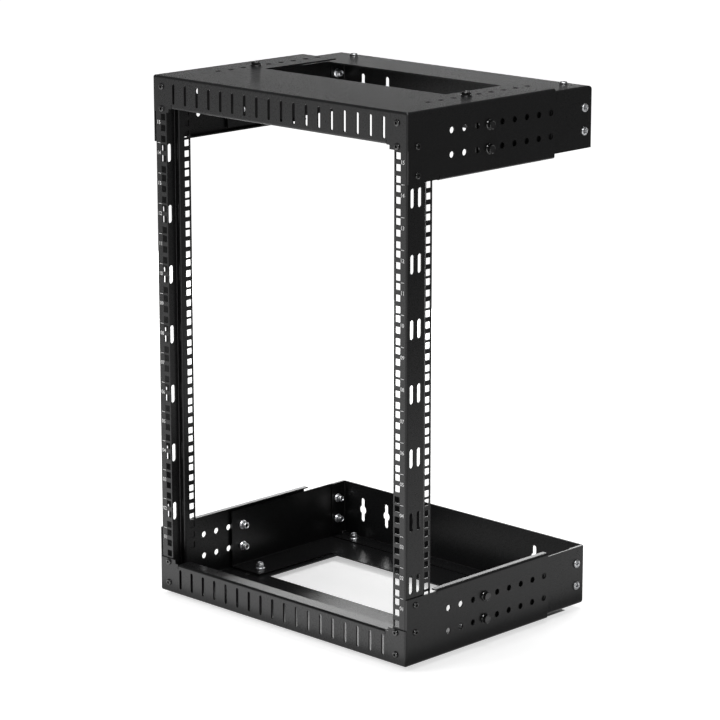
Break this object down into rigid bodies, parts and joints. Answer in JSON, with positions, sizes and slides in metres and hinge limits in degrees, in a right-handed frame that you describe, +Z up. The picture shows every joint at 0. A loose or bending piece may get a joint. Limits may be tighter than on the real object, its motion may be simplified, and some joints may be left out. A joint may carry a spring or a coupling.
{
  "type": "wall-mount open frame rack",
  "caption": "Open frame wall rack with bent sheet uprights carrying square equipment holes, joined by telescoping top and bottom trays with slotted aprons and keyholed wall plates.",
  "frame": {"origin": "centre of the footprint, at the level of the lower plate bolts' heads, on which the rack stands", "axes": "+X to the right seen from the front, +Y from the uprights towards the wall, +Z up"},
  "size_m": [0.515, 0.385, 0.7857],
  "materials": {
    "powder_coat": "satin powder coat",
    "black_bolt": "black oxide",
    "zinc": "bright zinc plate",
    "mark_ink": "matt white print"
  },
  "bodies": {
    "root": {"left_upright": "powder_coat", "right_upright": "powder_coat", "top_front_tray": "powder_coat", "top_rear_tray": "powder_coat", "top_wall_plate": "powder_coat", "top_cheek_clamp_bolts": "black_bolt", "top_cheek_clamp_nuts": "zinc", "top_cheek_wall_bolts": "zinc", "top_cheek_wall_nuts": "zinc", "top_plate_clamp_bolts": "black_bolt", "top_plate_clamp_nuts": "zinc", "top_plate_wall_bolts": "zinc", "top_plate_wall_nuts": "zinc", "bottom_front_tray": "powder_coat", "bottom_rear_tray": "powder_coat", "bottom_wall_plate": "powder_coat", "bottom_cheek_clamp_bolts": "black_bolt", "bottom_cheek_clamp_nuts": "zinc", "bottom_cheek_wall_bolts": "zinc", "bottom_cheek_wall_nuts": "zinc", "bottom_plate_clamp_bolts": "black_bolt", "bottom_plate_clamp_nuts": "zinc", "bottom_plate_wall_bolts": "zinc", "bottom_plate_wall_nuts": "zinc"}
  },
  "joints": []
}
